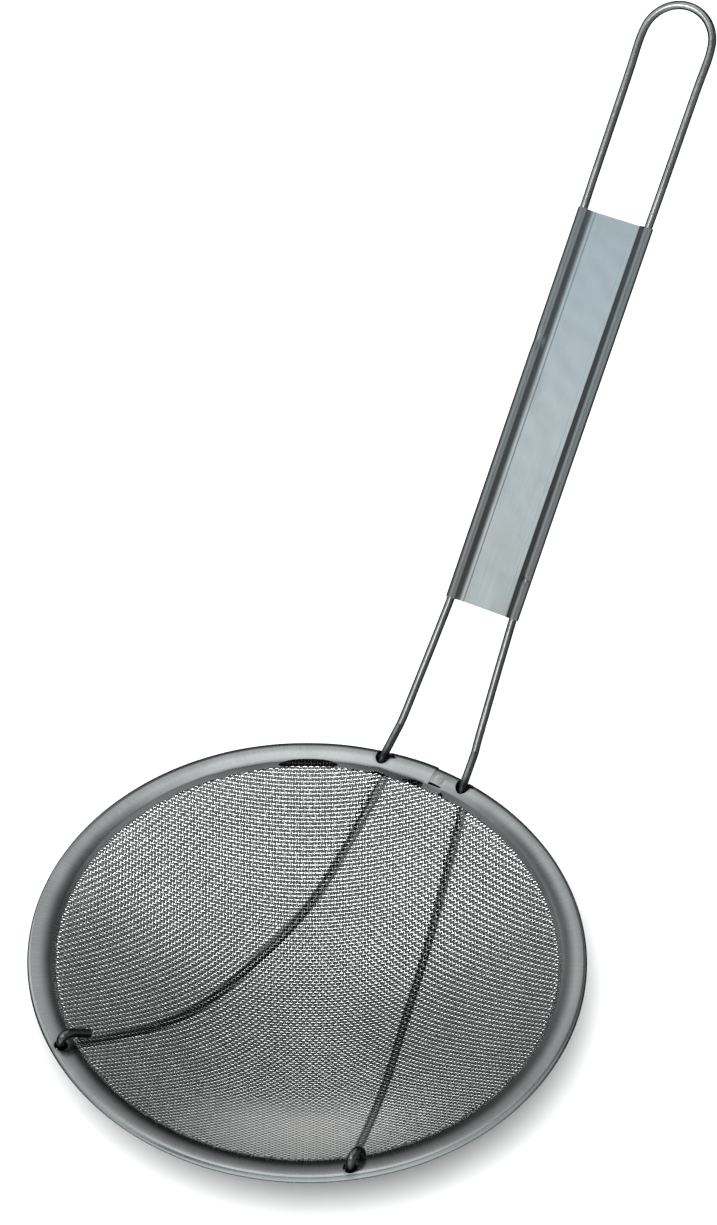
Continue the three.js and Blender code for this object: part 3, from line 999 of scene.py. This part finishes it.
def cloth_painted_shade(g):
    """Painted shade under the lip, on the near wall, at the bottom and where threads dive under others, and
    a painted reflection of the frame wires in front of them.
    """
    # Painted shade under the lip, on the near wall and at the bottom.
    under_lip = g.times(beyond(g, 89.9, 90.4), 0.995)
    middle = AXIS_Y * VIEW_AWAY[1]
    near_wall = g.ramp(g.dot(g.place(), VIEW_AWAY), middle - 0.110, middle + 0.060, 0.84, 0.0)
    bottom = g.times(g.rest(beyond(g, 12, 72)), 0.288)
    unshaded = g.rest(g.most(under_lip, g.plus(near_wall, bottom)))
    # Painted reflection of the dark frame wires, with a painted highlight along each.
    off_wires = g.rest(g.times(over_wires(g), 0.88))
    # Painted shade where a thread dives under the others.
    depth = g.add("Attribute", {"attribute_name": "depth"}).outputs["Fac"]
    on_crown = g.ramp(depth, 0.25, 0.75, 1.0, 0.14)
    return g.rest(g.times(on_crown, off_wires, unshaded))


def cloth_metal(name, light, dark, roughness, mottle):
    return metal(name, light, dark, roughness, WOVEN, 0.02, mottle=mottle, darkening=cloth_painted_shade)


def sheet_metal():
    """The grip's smooth rolled sheet: bluish at the top, browner below, with faint stains and scratches."""
    material, g = new_material("grip")
    place = along_handle(g)
    across, along, _ = g.parts(place)
    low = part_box("grip_plate")[0]
    tilt = radians(HANDLE_ANGLE)
    bottom = low[1] * cos(tilt) + low[2] * sin(tilt)
    way = g.ramp(along, bottom, bottom + GRIP_LENGTH / 1000)
    base = g.mix(way, (0.50, 0.51, 0.50, 1), (0.62, 0.69, 0.73, 1))
    darkening = g.noise(g.stretched(place, (1.0, 0.55, 1.0)), 95.0, 5.0, 0.65)
    marks = g.noise(place, 420.0, 3.0, 0.6)
    amount = g.times(g.ramp(darkening, 0.52, 0.72), g.ramp(way, 0.0, 1.0, 0.75, 0.35))
    colour = g.mix(amount, base, (0.50, 0.49, 0.46, 1))
    colour = g.mix(g.ramp(marks, 0.60, 0.75, 0.0, 0.22), colour, (0.46, 0.47, 0.48, 1))
    # The curled edges get painted shade: darker than the panel, most of all where they turn away.
    curl = g.ramp(g.math("ABSOLUTE", across), 0.0089, 0.0094)
    curl = g.times(curl, g.ramp(g.facing_away(), 0.05, 0.45, 0.52, 0.92))
    colour = g.mix(curl, colour, CURL_SHADE)
    rolled = g.noise(g.stretched(place, ROLLED), 1.0, 2.0)
    wear = g.plus(g.times(darkening, 0.6), g.times(rolled, 0.4))
    g.bare_metal(colour, g.ramp(wear, 0.3, 0.7, 0.26, 0.42, smooth=False), rolled, 0.035)
    return material


rim_metal = metal("rim", (0.64, 0.65, 0.65), (0.54, 0.56, 0.56), (0.22, 0.32), BRUSHED, 0.015,
                  vector=polar, darkening=rim_heat_and_painted_shade)
wire_metal = metal("wire", (0.50, 0.50, 0.50), (0.26, 0.27, 0.26), (0.16, 0.28), DRAWN, 0.05,
                   darkening=wire_painted_shade, edge=0.95)
loop_metal = metal("loop", (0.66, 0.66, 0.66), (0.44, 0.45, 0.45), (0.18, 0.28), DRAWN, 0.05, edge=0.92)
# The ring in the fold is near-black as painted shade.
fold_shade_metal = metal("fold_shade_sheet", (0.015, 0.015, 0.014), (0.006, 0.006, 0.006), (0.5, 0.7), FOLD_SHADE_GRAIN, 0.1)
# The weft and the warp are one wire in lit and shaded copies: the weft is coloured bright as painted light,
# the warp darker as painted shade.
fine_metals = [
    cloth_metal("fine_weft", (0.92, 0.94, 0.93), (0.78, 0.81, 0.80), (0.29, 0.36), FINE_MOTTLE),
    cloth_metal("fine_warp", (0.36, 0.38, 0.37), (0.26, 0.28, 0.27), (0.25, 0.38), FINE_MOTTLE),
]
# The backing layer is coloured near-black as painted shade, for the shade behind the fine cloth; its warp
# is darker still, as painted shade.
coarse_metals = [
    cloth_metal("coarse_weft", (0.26, 0.27, 0.27), (0.17, 0.18, 0.18), (0.25, 0.40), MOTTLE),
    cloth_metal("coarse_warp", (0.20, 0.21, 0.21), (0.14, 0.15, 0.15), (0.25, 0.40), MOTTLE),
]
grip_metal = sheet_metal()

# ------------------------------------ the strainer


def dress(obj, materials, node):
    for material in materials:
        obj.data.materials.append(material)
    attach(obj, "root")
    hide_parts(node)
    return obj


rim = dress(build_hoop(), [rim_metal], "rim_band")
cloths = [
    dress(build_cloth("cloth_inner", FINE, 0, (0.0, 0.0), 3), fine_metals, "sieve_inner"),
    dress(build_cloth("cloth_outer", COARSE, 1, (0.4, 0.4), 4), coarse_metals, "sieve_outer"),
]
fold_shade_ring = dress(build_fold_shade(), [fold_shade_metal], "sieve_outer")
left_hook = hook_points(turned=33, rise=2.0, bend=2.7, sweep=125, tail=8.3)
right_hook = hook_points(turned=-10, rise=2.3, bend=3.0, sweep=170, tail=3.0)
frame_wires = [
    dress(build_frame_wire("wire_left", -1, left_hook), [wire_metal], "frame_wire_left"),
    dress(build_frame_wire("wire_right", 1, right_hook), [wire_metal], "frame_wire_right"),
]
grip = dress(build_grip(), [grip_metal], "grip_plate")
loop = dress(build_loop(), [loop_metal], "hanging_loop")

# ------------------------------------ camera

CAMERA_ROLL = 0.29
CAMERA_DISTANCE = 1045.8
CAMERA_AIM = np.array([0.0, 0.0, -BEAD_RADIUS])
CAMERA_SENSOR = 36.0
CAMERA_LENS = 146.76
CAMERA_REACH = 20.0
LENS_SHIFT = (0.07155, 0.47071)


def build_camera():
    data = bpy.data.cameras.new("camera")
    data.sensor_fit = "HORIZONTAL"
    data.sensor_width = CAMERA_SENSOR
    data.lens = CAMERA_LENS
    data.clip_end = CAMERA_REACH
    camera = add_object("camera", data)
    roll = radians(CAMERA_ROLL)
    forward = VIEW_AWAY * cos(view_rise) - np.array([0.0, 0.0, sin(view_rise)])
    view_up = np.cross(VIEW_RIGHT, forward)
    right = cos(roll) * VIEW_RIGHT + sin(roll) * view_up
    up = cos(roll) * view_up - sin(roll) * VIEW_RIGHT
    matrix = Matrix.Identity(4)
    for column, axis in enumerate((right, up, -forward)):
        for row in range(3):
            matrix[row][column] = axis[row]
    matrix.translation = Vector(to_frame(CAMERA_AIM - forward * CAMERA_DISTANCE))
    camera.matrix_world = matrix
    bpy.context.scene.camera = camera
    shift_lens(camera, "shift_x", LENS_SHIFT[0])
    shift_lens(camera, "shift_y", LENS_SHIFT[1])


def shift_lens(camera, axis, amount):
    """Shifts the lens while the camera stands here; a camera moved round the object looks straight."""
    driver = camera.data.driver_add(axis).driver
    place = driver.variables.new()
    place.name = "x"
    place.targets[0].id = camera
    place.targets[0].data_path = "location[0]"
    here = camera.location[0]
    driver.expression = f"{amount:.5f} if x > {here - 0.001:.5f} and x < {here + 0.001:.5f} else 0.0"


build_camera()

# ------------------------------------ studio


def studio_direction(right, away, up):
    """A unit direction given by the viewer's right, the way away from the viewer, and up."""
    return unit(right * VIEW_RIGHT + away * VIEW_AWAY + np.array([0.0, 0.0, up]))


WHITE = (1.0, 1.0, 1.0)
COOL = (0.96, 1.0, 1.0)
# Soft panels: studio direction, angle of full brightness, angle where it ends, colour, strength.
PANELS = [
    ((0.0, 0.0, 1.0), 22, 30, WHITE, 0.80),
    ((0.0, 0.2, 1.0), 24, 50, WHITE, 0.16),
    ((0.0, 0.62, 0.78), 12, 28, WHITE, 0.34),
    ((0.0, -1.0, 0.15), 26, 50, (0.95, 1.0, 1.0), 0.60),
    ((-0.92, 0.1, 0.36), 26, 50, COOL, 0.60),
    ((-0.60, 0.72, 0.30), 16, 34, COOL, 0.40),
    ((0.80, 0.60, 0.10), 16, 34, COOL, 0.18),
    ((0.88, -0.35, 0.36), 22, 44, COOL, 0.55),
]
FLOOR_SIZE = 6.0
FLOOR_SHADE = (0.115, 0.125, 0.12, 1)
FLOOR_SHADOW = (0.17, 0.17, 0.17, 1)
SHADOW_SHIFT = (3.3, -8.0)      # mm to the viewer's right and away from the viewer
LIGHT_DISTANCE = 1.9
FLOOR_LIGHT_ANGLE = 34.0
FLOOR_LIGHT_POWER = 4.1


def build_world():
    """White to the camera, and dim with the soft panels for what mirrors in the metal."""
    world = bpy.data.worlds.new("studio")
    bpy.context.scene.world = world
    world.use_nodes = True
    g = Graph(world.node_tree)
    direction = g.add("TexCoord").outputs["Generated"]
    height = g.parts(direction)[2]
    total = g.mix(g.ramp(height, -0.1, 0.8), (0.020, 0.025, 0.025, 1), (0.07, 0.08, 0.08, 1))
    for axis, full, end, colour, strength in PANELS:
        reach = cos(radians(end)), cos(radians(full))
        glow = g.ramp(g.dot(direction, studio_direction(*axis)), *reach, 0.0, strength)
        tinted = g.add("VectorMath", {"operation": "SCALE"}, Scale=glow)
        tinted.inputs[0].default_value = colour
        total = g.vector_math("ADD", total, tinted.outputs[0])[0]
    seen = g.add("LightPath").outputs["Is Camera Ray"]
    colour = g.mix(seen, total, (1, 1, 1, 1))
    g.output("OutputWorld", g.add("Background", None, Color=colour, Strength=1.0).outputs[0])


def floor_colour(g, position):
    """Pale, but dark where the two dense layers of cloth keep the light off, behind the bowl."""
    grain = g.noise(position, 60.0, 4.0)
    pale = g.mix(g.ramp(grain, 0.3, 0.7), (0.84, 0.84, 0.84, 1), (0.86, 0.86, 0.86, 1))
    behind = (SEAT_DEPTH + BOWL_DEPTH - 6) / tan(view_rise)
    shade = (ORIGIN + VIEW_AWAY * behind) / 1000
    # The bowl's shadow spreads a little beyond it, most of all towards the viewer and the right.
    shadow = shade + (SHADOW_SHIFT[0] * VIEW_RIGHT + SHADOW_SHIFT[1] * VIEW_AWAY) / 1000
    from_shadow = g.distance(position, (*shadow[:2], 0))
    from_shade = g.distance(position, (*shade[:2], 0))
    pale = g.mix(g.ramp(from_shadow, 0.086, 0.114), FLOOR_SHADOW, pale)
    return g.mix(g.ramp(from_shade, 0.0975, 0.1025), FLOOR_SHADE, pale)


def floor_glow(g, position):
    """In the metal the floor shows bright on the viewer's side of the strainer and dark behind it."""
    toward = g.dot(g.add("NewGeometry").outputs["Incoming"], VIEW_AWAY)
    glow = g.ramp(toward, -0.35, 0.75, 0.02, 0.85)
    return g.times(glow, g.ramp(g.distance(position, (0, AXIS_Y, 0)), 0.098, 0.15, 0.06, 1.0))


def build_floor():
    """A wide pale floor. It mirrors in the metal as a darker one, as a floor outside the lights would."""
    mesh = bpy.data.meshes.new("floor")
    corners = [(x * FLOOR_SIZE, y * FLOOR_SIZE, 0) for x, y in ((-1, -1), (1, -1), (1, 1), (-1, 1))]
    mesh.from_pydata(corners, [], [(0, 1, 2, 3)])
    floor = add_object("floor", mesh)
    material, g = new_material("floor")
    position = g.place()
    seen = g.add("BsdfDiffuse", None, Color=floor_colour(g, position))
    mirrored = g.add("Emission", None, Color=(0.93, 1.0, 1.0, 1), Strength=floor_glow(g, position))
    both = g.add("MixShader")
    path = g.add("LightPath").outputs["Is Glossy Ray"]
    for socket, value in zip(both.inputs, (path, seen.outputs[0], mirrored.outputs[0])):
        g.set(socket, value)
    g.output("OutputMaterial", both.outputs[0])
    mesh.materials.append(material)
    return floor


def collect(name, objects):
    collection = bpy.data.collections.new(name)
    for obj in objects:
        collection.objects.link(obj)
    return collection


def add_light(data, toward, receivers):
    """A light from a direction, for some objects alone."""
    light = add_object(data.name, data)
    light.location = Vector(to_frame([0, 0, -20])) + Vector(toward) * LIGHT_DISTANCE
    light.rotation_euler = Vector(toward).to_track_quat("Z", "Y").to_euler()
    light.light_linking.receiver_collection = collect("lit_by_" + data.name, receivers)
    return light


def build_floor_light(floor, blockers):
    """Lights the floor only, so that it stays white and carries one soft shadow of the bowl."""
    data = bpy.data.lights.new("floor_light", "SUN")
    data.angle = radians(FLOOR_LIGHT_ANGLE)
    data.energy = FLOOR_LIGHT_POWER
    light = add_light(data, studio_direction(-0.07, -0.50, 0.86), [floor])
    light.light_linking.blocker_collection = collect("shadow_on_floor", blockers)


def build_soft_light(name, toward, size, strength, colour, receivers):
    """A soft oval light; strength is how bright it looks in a mirror."""
    data = bpy.data.lights.new(name, "AREA")
    data.shape = "ELLIPSE"
    data.size, data.size_y = size
    data.color = colour
    data.energy = strength * pi * pi / 4 * size[0] * size[1]
    add_light(data, toward, receivers)


build_world()
build_floor_light(build_floor(), [rim, *cloths, fold_shade_ring])
build_soft_light("cloth_light", studio_direction(-0.1, -0.5, 0.85), (4.6, 0.95), 20.4, WHITE, cloths)
build_soft_light("wire_light", studio_direction(-0.45, -0.55, 0.70), (0.9, 0.9), 3.0, WHITE,
                 [*frame_wires, loop])
build_soft_light("grip_light", studio_direction(-0.62, -0.60, 0.51), (1.5, 1.5), 1.05, (0.86, 0.96, 1.0),
                 [grip, loop])
bpy.context.scene.view_settings.view_transform = "Standard"
bpy.context.scene.view_settings.look = "None"
